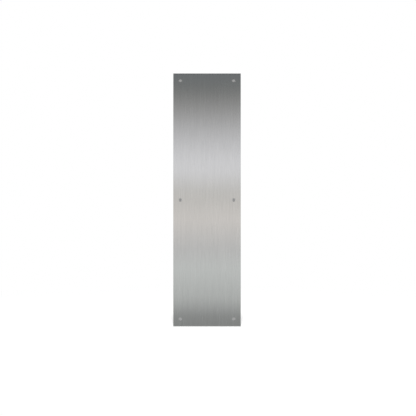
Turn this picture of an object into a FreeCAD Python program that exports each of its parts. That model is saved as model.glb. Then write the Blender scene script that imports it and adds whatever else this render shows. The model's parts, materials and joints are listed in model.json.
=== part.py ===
import FreeCAD, Part
import os
import Sketcher

# Door finger plate: one flat piece of satin stainless steel sheet, bevelled round the front, with three
# pairs of countersunk screw holes.
# It is modelled as it is fixed to a door: X runs across it, Z runs up its length, and it faces -Y.
# The origin is the centre of the back face, which lies on the door at Y = 0. Sizes are in millimetres.

NODE = "finger_plate"

# Driving sizes: alias, value, what it is
SIZES = [
    ("plate_width", 101.6, "across the door, 4 in"),
    ("plate_height", 381.0, "up the door, 15 in"),
    ("plate_thickness", 1.27, "rolled sheet, 0.050 in"),
    ("bevel_width", 0.9, "ground bevel, measured across the front face"),
    ("bevel_depth", 0.4, "ground bevel, measured down the edge"),
    ("corner_radius", 0.4, "square corner in plan with its burr taken off"),
    ("back_edge_radius", 0.12, "sheared edge with its burr taken off"),
    ("hole_inset_side", 10.6, "screw centre to the long edge"),
    ("hole_inset_end", 10.8, "centre of the end screws to the short edge"),
    ("hole_columns", 2, "screws across"),
    ("hole_rows", 3, "screws up"),
    ("hole_diameter", 4.0, "clearance for a No. 6 wood screw"),
    ("countersink_angle", 82.0, "included angle of the screw head"),
    ("countersink_land", 0.25, "straight wall left under the countersink"),
]

TOLERANCE = 1e-4


def make_sizes(doc):
    """The sheet that every feature reads, one row to a size."""
    sheet = doc.addObject("Spreadsheet::Sheet", "Sizes")
    for row, (alias, value, meaning) in enumerate(SIZES, start=1):
        sheet.set(f"A{row}", alias)
        sheet.set(f"B{row}", str(value))
        sheet.set(f"C{row}", meaning)
        sheet.setAlias(f"B{row}", alias)
    doc.recompute()
    return sheet


def origin_feature(body, role):
    """The body's own origin plane or axis of this role."""
    return next(item for item in body.Origin.OriginFeatures if item.Role == role)


def add_sketch(body, name):
    """A sketch on the door's plane: its axes are the plate's X and Z, and its normal is -Y."""
    sketch = body.newObject("Sketcher::SketchObject", name)
    sketch.AttachmentSupport = [(origin_feature(body, "XZ_Plane"), "")]
    sketch.MapMode = "FlatFace"
    return sketch


def add_dimension(sketch, name, constraint, expression):
    """Adds a named dimension and ties it to the sheet."""
    sketch.renameConstraint(sketch.addConstraint(constraint), name)
    sketch.setExpression(f"Constraints.{name}", expression)


def edges_where(shape, is_wanted):
    """The names of the shape's edges that pass a test."""
    return [f"Edge{number}" for number, edge in enumerate(shape.Edges, start=1) if is_wanted(edge)]


def is_at(item, y):
    """Whether a whole edge or face lies in the plane at this Y."""
    box = item.BoundBox
    return abs(box.YMin - y) < TOLERANCE and abs(box.YMax - y) < TOLERANCE


def runs_through(edge):
    """Whether an edge runs straight through the sheet, along Y."""
    return edge.BoundBox.XLength < TOLERANCE and edge.BoundBox.ZLength < TOLERANCE


def add_blank(body, sizes):
    """The sheared blank: a rectangle centred on the origin, as thick as the sheet."""
    sketch = add_sketch(body, "blank_outline")
    half_width = sizes.plate_width / 2
    half_height = sizes.plate_height / 2
    corners = [
        FreeCAD.Vector(-half_width, -half_height, 0),
        FreeCAD.Vector(half_width, -half_height, 0),
        FreeCAD.Vector(half_width, half_height, 0),
        FreeCAD.Vector(-half_width, half_height, 0),
    ]
    for start, end in zip(corners, corners[1:] + corners[:1]):
        sketch.addGeometry(Part.LineSegment(start, end), False)
    for line in range(4):
        sketch.addConstraint(Sketcher.Constraint("Coincident", line, 2, (line + 1) % 4, 1))
    for line, direction in enumerate(["Horizontal", "Vertical", "Horizontal", "Vertical"]):
        sketch.addConstraint(Sketcher.Constraint(direction, line))
    sketch.addConstraint(Sketcher.Constraint("Symmetric", 0, 1, 2, 1, -1, 1))
    across = Sketcher.Constraint("DistanceX", 0, 1, 0, 2, sizes.plate_width)
    up = Sketcher.Constraint("DistanceY", 1, 1, 1, 2, sizes.plate_height)
    add_dimension(sketch, "width", across, "Sizes.plate_width")
    add_dimension(sketch, "height", up, "Sizes.plate_height")

    blank = body.newObject("PartDesign::Pad", "blank")
    blank.Profile = sketch
    blank.setExpression("Length", "Sizes.plate_thickness")
    body.Document.recompute()
    return blank


def bevel_front(body, blank, sizes):
    """The shallow bevel ground along each front edge, wider than it is deep and mitred at the corners."""
    bevel = body.newObject("PartDesign::Chamfer", "bevel")
    front_edges = edges_where(blank.Shape, lambda edge: is_at(edge, -sizes.plate_thickness))
    bevel.Base = (blank, front_edges)
    bevel.ChamferType = "Two distances"
    bevel.setExpression("Size", "Sizes.bevel_depth")
    bevel.setExpression("Size2", "Sizes.bevel_width")
    body.Document.recompute()
    return bevel


def ease_corners(body, bevelled):
    """The square corners in plan, with no more than their burr taken off."""
    eased = body.newObject("PartDesign::Fillet", "corners")
    through_edges = edges_where(bevelled.Shape, runs_through)
    eased.Base = (bevelled, through_edges)
    eased.setExpression("Radius", "Sizes.corner_radius")
    body.Document.recompute()
    return eased


def ease_back(body, cornered):
    """The back edge, eased so that it doesn't cut into the door."""
    eased = body.newObject("PartDesign::Fillet", "back_edge")
    back_edges = edges_where(cornered.Shape, lambda edge: is_at(edge, 0.0))
    eased.Base = (cornered, back_edges)
    eased.setExpression("Radius", "Sizes.back_edge_radius")
    body.Document.recompute()


def add_screw_hole(body, sizes):
    """The lower left screw hole, countersunk from the front until only a short straight wall is left."""
    sketch = add_sketch(body, "screw_hole_centre")
    sketch.setExpression(".AttachmentOffset.Base.z", "Sizes.plate_thickness")
    from_middle = FreeCAD.Vector(
        sizes.plate_width / 2 - sizes.hole_inset_side,
        sizes.plate_height / 2 - sizes.hole_inset_end,
        0,
    )
    upwards = FreeCAD.Vector(0, 0, 1)
    sketch.addGeometry(Part.Circle(-from_middle, upwards, sizes.hole_diameter / 2), False)
    across = Sketcher.Constraint("DistanceX", 0, 3, -1, 1, from_middle.x)
    up = Sketcher.Constraint("DistanceY", 0, 3, -1, 1, from_middle.y)
    bore = Sketcher.Constraint("Diameter", 0, sizes.hole_diameter)
    add_dimension(sketch, "across", across, "Sizes.plate_width / 2 - Sizes.hole_inset_side")
    add_dimension(sketch, "up", up, "Sizes.plate_height / 2 - Sizes.hole_inset_end")
    add_dimension(sketch, "bore", bore, "Sizes.hole_diameter")
    body.Document.recompute()

    hole = body.newObject("PartDesign::Hole", "screw_hole")
    hole.Profile = sketch
    hole.DepthType = "ThroughAll"
    hole.Threaded = False
    hole.HoleCutType = "Countersink"
    hole.HoleCutCustomValues = True
    hole.setExpression("Diameter", "Sizes.hole_diameter")
    hole.setExpression("HoleCutCountersinkAngle", "Sizes.countersink_angle")
    hole.setExpression(
        "HoleCutDiameter",
        "Sizes.hole_diameter + 2 * (Sizes.plate_thickness - Sizes.countersink_land)"
        " * tan(Sizes.countersink_angle / 2 * 1deg)",
    )
    body.Document.recompute()
    return hole


def add_hole_step(body, name, axis, length):
    """One direction of the hole pattern, its copies spread evenly over the length."""
    step = body.newObject("PartDesign::LinearPattern", name)
    step.Direction = (origin_feature(body, axis), [""])
    step.setExpression("Length", length)
    step.setExpression("Occurrences", f"Sizes.{name}")
    return step


def repeat_hole(body, hole):
    """The hole repeated across and up the plate, as far from the far edges as from the near ones."""
    pattern = body.newObject("PartDesign::MultiTransform", "screw_holes")
    pattern.Originals = [hole]
    pattern.Transformations = [
        add_hole_step(body, "hole_columns", "X_Axis", "Sizes.plate_width - 2 * Sizes.hole_inset_side"),
        add_hole_step(body, "hole_rows", "Z_Axis", "Sizes.plate_height - 2 * Sizes.hole_inset_end"),
    ]
    body.Tip = pattern
    body.Document.recompute()


def check(doc, body, sizes):
    """Stops unless every feature worked and the plate is one sound solid, its bevel the right way round."""
    for item in doc.Objects:
        if "Invalid" in item.State or "Error" in item.State:
            raise RuntimeError(f"{item.Name} failed: {item.State}")
    shape = body.Shape
    if shape.isNull() or not shape.isValid() or len(shape.Solids) != 1:
        raise RuntimeError(f"{body.Label} isn't one valid solid")
    front = next(face for face in shape.Faces if is_at(face, -sizes.plate_thickness))
    if abs(front.BoundBox.XLength - (sizes.plate_width - 2 * sizes.bevel_width)) > TOLERANCE:
        raise RuntimeError("the bevel's width and depth are swapped")


def main():
    doc = FreeCAD.newDocument("finger_plate_model")
    sizes = make_sizes(doc)
    body = doc.addObject("PartDesign::Body", "plate_body")
    body.Label = NODE
    blank = add_blank(body, sizes)
    bevelled = bevel_front(body, blank, sizes)
    cornered = ease_corners(body, bevelled)
    ease_back(body, cornered)
    hole = add_screw_hole(body, sizes)
    repeat_hole(body, hole)
    check(doc, body, sizes)

    os.makedirs("parts", exist_ok=True)
    body.Shape.exportStep(os.path.join("parts", f"{NODE}.step"))
    print(f"{NODE}: {body.Shape.Volume / 1000:.2f} cm3, {len(body.Shape.Faces)} faces")


main()
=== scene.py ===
import json
import math
import bpy
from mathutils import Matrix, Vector


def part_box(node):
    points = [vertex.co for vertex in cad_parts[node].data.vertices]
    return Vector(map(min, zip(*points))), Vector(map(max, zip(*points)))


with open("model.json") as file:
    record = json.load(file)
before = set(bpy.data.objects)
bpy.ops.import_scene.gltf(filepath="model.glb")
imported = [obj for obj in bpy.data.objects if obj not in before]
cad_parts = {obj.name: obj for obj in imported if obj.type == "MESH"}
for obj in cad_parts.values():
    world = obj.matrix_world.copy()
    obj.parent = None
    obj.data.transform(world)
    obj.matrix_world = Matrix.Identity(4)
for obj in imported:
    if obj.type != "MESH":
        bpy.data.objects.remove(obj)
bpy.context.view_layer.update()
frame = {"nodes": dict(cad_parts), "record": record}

# The door finger plate: a brushed front, ground bevels and edges, machined screw holes, and a back as it
# came from the mill. Lengths are in metres. The plate faces -Y, and its back lies on Y = 0.

NODE = "finger_plate"
PLATE_LOW, PLATE_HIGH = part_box(NODE)
MM = 0.001
WHITE = (1, 1, 1, 1)

# The photograph is square, and the plate's middle is a little up and to the left of the picture's
PHOTO_SIDE_PX = 416
PLATE_MIDDLE_PX = (207.02, 199.95)
METRES_PER_PX = 0.001506
LENS_MM = 85
SENSOR_MM = 36
CAMERA_AT = Vector((
    (PHOTO_SIDE_PX / 2 - PLATE_MIDDLE_PX[0]) * METRES_PER_PX,
    PLATE_LOW.y - METRES_PER_PX * PHOTO_SIDE_PX * LENS_MM / SENSOR_MM,
    (PLATE_MIDDLE_PX[1] - PHOTO_SIDE_PX / 2) * METRES_PER_PX,
))

# The steel's colour in the dullest and the brightest of its marks
BRUSHED = ((0.53, 0.53, 0.525, 1), (0.79, 0.79, 0.78, 1))
ROLLED = ((0.52, 0.52, 0.515, 1), (0.60, 0.60, 0.595, 1))
GROUND = ((0.55, 0.55, 0.545, 1), (0.68, 0.68, 0.675, 1))
TURNED = ((0.65, 0.65, 0.645, 1), (0.81, 0.81, 0.805, 1))

# How many steps of finer noise there are within the marks
MARK_DETAIL = 1.0

# Where a Mix node has its sockets for colours, which share their names with those for numbers
MIX_FIRST, MIX_SECOND = 6, 7
MIX_RESULT = 2

# A face whose normal is this near to Y is the front or the back
FLAT = 0.999

# Faces nearer than this to a screw hole's axis are its wall and countersink
HOLE_REACH = 0.0032

# The studio wall that the steel mirrors: a drum round the plate. Its light is a tone and a tint at heights
# from the plate's middle. The bands far above and below the plate are for the countersinks.
WALL_RADIUS = 0.12
WALL_HALF_HEIGHT = 5.0
WALL_SIDES = 96
PLAIN = (1.0, 1.0, 1.0)
WARM = (1.0, 0.96, 0.93)
CREAM = (1.0, 0.98, 0.95)
COOL = (1.0, 1.0, 1.03)
GREEN = (0.97, 1.0, 0.99)
BLUE = (0.94, 1.0, 1.04)
WALL_TONES = [
    (-2.00, 0.22, PLAIN),
    (-1.10, 0.60, PLAIN),
    (-0.80, 0.95, PLAIN),
    (-0.60, 0.42, PLAIN),
    (-0.40, 0.56, PLAIN),
    (-0.26, 0.43, GREEN),
    (-0.20, 0.34, GREEN),
    (-0.19, 0.36, GREEN),
    (-0.16, 0.64, GREEN),
    (-0.11, 0.78, GREEN),
    (-0.08, 0.72, PLAIN),
    (-0.03, 0.88, WARM),
    (0.01, 0.76, CREAM),
    (0.05, 0.94, COOL),
    (0.07, 0.90, COOL),
    (0.10, 0.74, COOL),
    (0.15, 0.42, PLAIN),
    (0.18, 0.26, GREEN),
    (0.20, 0.24, BLUE),
    (0.36, 0.12, PLAIN),
    (0.62, 0.16, PLAIN),
    (0.80, 0.95, PLAIN),
    (1.10, 0.60, PLAIN),
    (2.00, 0.32, PLAIN),
]

# The floor: its paint, the light that is added to it for the camera, and how far from the plate's foot
# the camera sees it really lit, and from where on it sees plain white
FLOOR_HALF_SIDE = 6.0
FLOOR_PAINT = (0.88, 0.88, 0.88, 1)
FLOOR_LIFT = 0.13
FLOOR_LIT_RADIUS = 0.30
FLOOR_WHITE_RADIUS = 0.70

# The lamp and the even light round it
KEY_AT = Vector((0, -1.75, 4.6))
KEY_SIZE = (0.18, 1.0)
KEY_WATTS = 157
FILL = 0.5

# The card of painted shade that shows through the screw holes, in place of the shade in them: how near the
# plate's back it is, how far it stays inside the plate's edges, and the painted shade's glow half-way up
# and at both ends
CARD_GAP = 0.0001
CARD_INSET = 0.006
HOLE_SHADE_TONES = (0.29, 0.335)


def add_node(tree, kind, inputs=None, **settings):
    """A shader node with its settings and inputs. An input is a value or another node's output."""
    node = tree.nodes.new(kind)
    for name, value in settings.items():
        setattr(node, name, value)
    for name, value in (inputs or {}).items():
        if isinstance(value, bpy.types.NodeSocket):
            tree.links.new(value, node.inputs[name])
        else:
            node.inputs[name].default_value = value
    return node


def new_material(name):
    """An empty material and its node tree."""
    material = bpy.data.materials.new(name)
    material.use_nodes = True
    material.node_tree.nodes.clear()
    return material, material.node_tree


def set_surface(tree, shader):
    """Makes a shader the material's surface."""
    add_node(tree, "ShaderNodeOutputMaterial", {"Surface": shader})


def place(tree):
    """Where on the object a point is."""
    return add_node(tree, "ShaderNodeTexCoord").outputs["Object"]


def height(tree):
    """How far above the object's origin a point is."""
    return add_node(tree, "ShaderNodeSeparateXYZ", {"Vector": place(tree)}).outputs["Z"]


def arithmetic(tree, operation, *values):
    """What an operation makes of values, each a number or another node's output."""
    node = add_node(tree, "ShaderNodeMath", dict(enumerate(values)), operation=operation)
    return node.outputs["Value"]


def blend(tree, factor, low, high, start=0.0, end=1.0):
    """A number that runs from low to high as the factor runs from start to end."""
    inputs = {"Value": factor, "From Min": start, "From Max": end, "To Min": low, "To Max": high}
    return add_node(tree, "ShaderNodeMapRange", inputs).outputs["Result"]


def weighted_sum(tree, factors, weights):
    """The factors, each times its weight, added up."""
    total = 0.0
    for factor, weight in zip(factors, weights):
        total = arithmetic(tree, "MULTIPLY_ADD", factor, weight, total)
    return total


def mix_colours(tree, factor, colours):
    """The first of two colours where the factor is 0, and the second where it is 1."""
    inputs = {"Factor": factor, MIX_FIRST: colours[0], MIX_SECOND: colours[1]}
    return add_node(tree, "ShaderNodeMix", inputs, data_type="RGBA").outputs[MIX_RESULT]


def mix_shaders(tree, factor, first, second):
    """The first shader where the factor is 0, and the second where it is 1."""
    return add_node(tree, "ShaderNodeMixShader", {0: factor, 1: first, 2: second}).outputs["Shader"]


def glow(tree, strength=1.0, colour=WHITE):
    """A shader that gives off light."""
    inputs = {"Color": colour, "Strength": strength}
    return add_node(tree, "ShaderNodeEmission", inputs).outputs["Emission"]


def marks(tree, size):
    """Noise whose spots have this size along X, Y and Z: long and thin ones are brush marks."""
    scale = tuple(1 / length for length in size)
    scaled = add_node(tree, "ShaderNodeMapping", {"Vector": place(tree), "Scale": scale})
    inputs = {"Vector": scaled.outputs["Vector"], "Scale": 1.0, "Detail": MARK_DETAIL}
    return add_node(tree, "ShaderNodeTexNoise", inputs).outputs["Fac"]


def steel(name, colours, layers, roughness, depth, brushed=0.0, along="Z"):
    """Steel with layers of marks, each a size and a weight. The first layer has this depth.

    Brushed from 0 to 1, it blurs what it mirrors across the marks, which run along an axis.
    """
    material, tree = new_material(name)
    noises = [marks(tree, size) for size, weight in layers]
    worn = weighted_sum(tree, noises, [weight for size, weight in layers])
    across = add_node(tree, "ShaderNodeTangent", direction_type="RADIAL", axis=along)
    relief = add_node(tree, "ShaderNodeBump", {"Height": noises[0], "Strength": 1.0, "Distance": depth})
    shader = add_node(
        tree,
        "ShaderNodeBsdfPrincipled",
        {
            "Base Color": mix_colours(tree, worn, colours),
            "Metallic": 1.0,
            "Roughness": blend(tree, worn, *roughness),
            "Anisotropic": brushed,
            "Tangent": across.outputs["Tangent"],
            "Normal": relief.outputs["Normal"],
        },
    )
    set_surface(tree, shader.outputs["BSDF"])
    return material


def satin_front():
    """Brushed up the plate: hairlines, and wider and longer strokes that the belt left."""
    hairlines = ((0.00025, 0.00025, 0.018), 0.66)
    strokes = ((0.0020, 0.0020, 0.055), 0.22)
    bands = ((0.0045, 0.0045, 0.150), 0.12)
    layers = [hairlines, strokes, bands]
    return steel("satin_steel", BRUSHED, layers, roughness=(0.22, 0.30), depth=0.000005, brushed=1.0)


def rolled_back():
    """As the sheet came from the mill: faint rolling lines and a slight mottle."""
    lines = ((0.0005, 0.0005, 0.030), 0.5)
    mottle = ((0.006, 0.006, 0.012), 0.5)
    layers = [lines, mottle]
    return steel("rolled_back", ROLLED, layers, roughness=(0.38, 0.48), depth=0.000003, brushed=0.3)


def ground_edge(name, layers, along):
    """An edge and its bevel, ground along their length."""
    return steel(name, GROUND, layers, roughness=(0.20, 0.26), depth=0.000004, brushed=0.8, along=along)


def ground_side():
    """The long edges and their bevels."""
    scratches = ((0.0001, 0.0001, 0.006), 0.7)
    waves = ((0.004, 0.004, 0.030), 0.3)
    return ground_edge("ground_side", [scratches, waves], along="Z")


def ground_end():
    """The short edges and their bevels."""
    scratches = ((0.006, 0.0001, 0.0001), 0.9)
    waves = ((0.030, 0.004, 0.004), 0.1)
    return ground_edge("ground_end", [scratches, waves], along="X")


def turned_hole():
    """The screw holes and their countersinks, with the rings that the cutter left."""
    rings = ((0.004, 0.00008, 0.004), 0.6)
    mottle = ((0.002, 0.002, 0.002), 0.4)
    return steel("turned_hole", TURNED, [rings, mottle], roughness=(0.10, 0.15), depth=0.000003)


def plate_finishes():
    """The plate's finishes by zone."""
    return {
        "front": satin_front(),
        "back": rolled_back(),
        "side": ground_side(),
        "end": ground_end(),
        "hole": turned_hole(),
    }


def hole_centres():
    """The screw holes' centres across and up the plate, in its corners and half-way up."""
    mounts = {mount["name"]: mount for mount in frame["record"]["mounts"]}
    corners = mounts["corner_screw_holes"]["dims"]
    half_across = corners["spacing_x_mm"] * MM / 2
    half_up = corners["spacing_y_mm"] * MM / 2
    return [(x, z) for x in (-half_across, half_across) for z in (-half_up, 0, half_up)]


def zone(face, holes):
    """Which finish a face of the plate has."""
    if abs(face.normal.y) > FLAT:
        return "front" if face.normal.y < 0 else "back"
    if any(math.hypot(face.center.x - x, face.center.z - z) < HOLE_REACH for x, z in holes):
        return "hole"
    return "side" if abs(face.normal.x) > abs(face.normal.z) else "end"


def finish_plate():
    """Gives each zone of the plate its own finish."""
    plate = frame["nodes"][NODE]
    plate.data.materials.clear()
    finishes = plate_finishes()
    for material in finishes.values():
        plate.data.materials.append(material)
    slots = {name: slot for slot, name in enumerate(finishes)}
    holes = hole_centres()
    for face in plate.data.polygons:
        face.material_index = slots[zone(face, holes)]


def add_stage(name, points, faces, material):
    """A part of the studio."""
    mesh = bpy.data.meshes.new(name)
    mesh.from_pydata(points, [], faces)
    mesh.materials.append(material)
    piece = bpy.data.objects.new(name, mesh)
    bpy.context.scene.collection.objects.link(piece)
    return piece


def show_only_to(piece, wanted):
    """Hides a part of the studio from every kind of ray but one."""
    for rays in ("camera", "diffuse", "glossy", "transmission", "volume_scatter", "shadow"):
        setattr(piece, f"visible_{rays}", rays == wanted)


def pale_floor():
    """White paint. The camera sees it really lit round the plate, and plain white further off."""
    material, tree = new_material("pale_floor")
    to_camera = add_node(tree, "ShaderNodeLightPath").outputs["Is Camera Ray"]
    paint = add_node(tree, "ShaderNodeBsdfDiffuse", {"Color": FLOOR_PAINT}).outputs["BSDF"]
    lift = glow(tree, arithmetic(tree, "MULTIPLY", to_camera, FLOOR_LIFT))
    lit = add_node(tree, "ShaderNodeAddShader", {0: paint, 1: lift}).outputs["Shader"]
    distance = add_node(tree, "ShaderNodeVectorMath", {0: place(tree)}, operation="LENGTH")
    far = blend(tree, distance.outputs["Value"], 0.0, 1.0, FLOOR_LIT_RADIUS, FLOOR_WHITE_RADIUS)
    far_to_camera = arithmetic(tree, "MULTIPLY", to_camera, far)
    set_surface(tree, mix_shaders(tree, far_to_camera, lit, glow(tree)))
    return material


def add_floor():
    """The floor that the plate stands on. The steel mirrors the studio wall and not the floor."""
    side = FLOOR_HALF_SIDE
    points = [(-side, -side, 0), (side, -side, 0), (side, side, 0), (-side, side, 0)]
    floor = add_stage("floor", points, [(0, 1, 2, 3)], pale_floor())
    floor.location.z = PLATE_LOW.z
    floor.visible_glossy = False


def graded_wall():
    """Light that is graded up the studio wall."""
    material, tree = new_material("studio_wall")
    lowest, highest = WALL_TONES[0][0], WALL_TONES[-1][0]
    share = blend(tree, height(tree), 0.0, 1.0, lowest, highest)
    tones = add_node(tree, "ShaderNodeValToRGB", {"Fac": share})
    stops = tones.color_ramp.elements
    # New stops start half-way, and then every stop is moved to its place
    while len(stops) < len(WALL_TONES):
        stops.new(0.5)
    for stop, (z, tone, tint) in zip(stops, WALL_TONES):
        stop.position = (z - lowest) / (highest - lowest)
        stop.color = (*(tone * share for share in tint), 1)
    set_surface(tree, glow(tree, colour=tones.outputs["Color"]))
    return material


def add_studio_wall():
    """The drum of graded light that only the steel mirrors."""
    turns = [2 * math.pi * side / WALL_SIDES for side in range(WALL_SIDES)]
    points = [
        (WALL_RADIUS * math.cos(turn), WALL_RADIUS * math.sin(turn), z)
        for z in (-WALL_HALF_HEIGHT, WALL_HALF_HEIGHT)
        for turn in turns
    ]
    faces = []
    for side in range(WALL_SIDES):
        after = (side + 1) % WALL_SIDES
        faces.append((side, after, after + WALL_SIDES, side + WALL_SIDES))
    wall = add_stage("studio_wall", points, faces, graded_wall())
    show_only_to(wall, "glossy")


def painted_hole_shade():
    """Painted shade on the card's front, a glow that is lighter towards its ends, and clear from behind.
    """
    material, tree = new_material("hole_shade_card")
    from_middle = arithmetic(tree, "ABSOLUTE", height(tree))
    # Painted shade: this glow stands in for the shade inside the screw holes, lighter towards the card's
    # ends
    grey = glow(tree, blend(tree, from_middle, *HOLE_SHADE_TONES, 0.0, PLATE_HIGH.z))
    clear = add_node(tree, "ShaderNodeBsdfTransparent").outputs["BSDF"]
    behind = add_node(tree, "ShaderNodeNewGeometry").outputs["Backfacing"]
    set_surface(tree, mix_shaders(tree, behind, grey, clear))
    return material


def add_hole_shade_card():
    """A card of painted shade against the plate's back, so that from the front the screw holes look
    shaded, not white.
    """
    left, right = PLATE_LOW.x + CARD_INSET, PLATE_HIGH.x - CARD_INSET
    foot, top = PLATE_LOW.z + CARD_INSET, PLATE_HIGH.z - CARD_INSET
    y = PLATE_HIGH.y + CARD_GAP
    points = [(left, y, foot), (right, y, foot), (right, y, top), (left, y, top)]
    card = add_stage("hole_shade_card", points, [(0, 1, 2, 3)], painted_hole_shade())
    show_only_to(card, "camera")


def background(tree, strength):
    """White light from all round."""
    inputs = {"Color": WHITE, "Strength": strength}
    return add_node(tree, "ShaderNodeBackground", inputs).outputs["Background"]


def light_world():
    """A white background, also in glass and metal, and an even light on everything else."""
    world = bpy.data.worlds.new("world")
    bpy.context.scene.world = world
    world.use_nodes = True
    tree = world.node_tree
    tree.nodes.clear()
    rays = add_node(tree, "ShaderNodeLightPath").outputs
    mirrored = arithmetic(tree, "MAXIMUM", rays["Is Glossy Ray"], rays["Is Transmission Ray"])
    seen = arithmetic(tree, "MAXIMUM", rays["Is Camera Ray"], mirrored)
    surface = mix_shaders(tree, seen, background(tree, FILL), background(tree, 1.0))
    add_node(tree, "ShaderNodeOutputWorld", {"Surface": surface})


def add_key_light():
    """A soft lamp above and in front, which throws the plate's shadow back behind it."""
    data = bpy.data.lights.new("key", "AREA")
    data.shape = "RECTANGLE"
    data.size, data.size_y = KEY_SIZE
    data.energy = KEY_WATTS
    light = bpy.data.objects.new("key", data)
    light.location = KEY_AT
    light.rotation_euler = (-KEY_AT).to_track_quat("-Z", "Y").to_euler()
    light.visible_glossy = False
    bpy.context.scene.collection.objects.link(light)


def add_camera():
    """Square to the plate, where the photograph was taken from."""
    data = bpy.data.cameras.new("camera")
    data.lens = LENS_MM
    data.sensor_width = SENSOR_MM
    camera = bpy.data.objects.new("camera", data)
    camera.location = CAMERA_AT
    camera.rotation_euler = (math.pi / 2, 0, 0)
    bpy.context.scene.collection.objects.link(camera)
    bpy.context.scene.camera = camera


bpy.context.scene.view_settings.view_transform = "Standard"
finish_plate()
add_floor()
add_studio_wall()
add_hole_shade_card()
light_world()
add_key_light()
add_camera()
